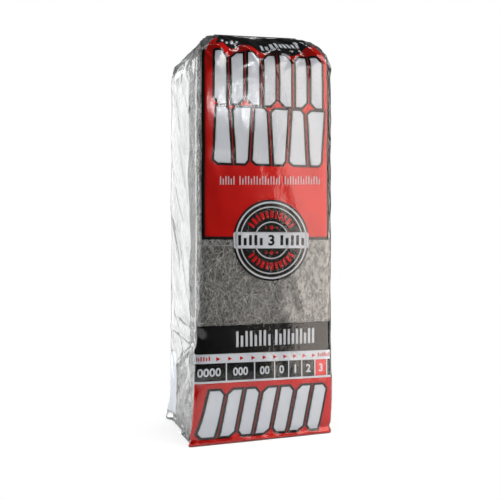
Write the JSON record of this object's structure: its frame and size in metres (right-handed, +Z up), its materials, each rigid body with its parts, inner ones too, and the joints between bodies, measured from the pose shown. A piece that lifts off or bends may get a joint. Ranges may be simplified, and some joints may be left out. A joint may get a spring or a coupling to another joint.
{
  "type": "steel wool pad pack",
  "caption": "Sealed clear film bag with a printed front, folded sides and a fin seal, holding a stack of folded steel wool pads.",
  "frame": {"origin": "middle of the base that the pack stands on", "axes": "+Z up along the pack's height, -Y out of the printed front, +X to the right as the front is seen"},
  "size_m": [0.1222, 0.093, 0.3271],
  "materials": {
    "printed_film": "clear glossy film printed in red, black and white",
    "steel_wool": "coarse curled steel fibres, dull grey with bright glints"
  },
  "bodies": {
    "root": {"printed_bag": "printed_film", "pad_01": "steel_wool", "pad_02": "steel_wool", "pad_03": "steel_wool", "pad_04": "steel_wool", "pad_05": "steel_wool", "pad_06": "steel_wool", "pad_07": "steel_wool", "pad_08": "steel_wool", "pad_09": "steel_wool", "pad_10": "steel_wool", "pad_11": "steel_wool", "pad_12": "steel_wool", "pad_13": "steel_wool", "pad_14": "steel_wool", "pad_15": "steel_wool", "pad_16": "steel_wool"}
  },
  "joints": []
}
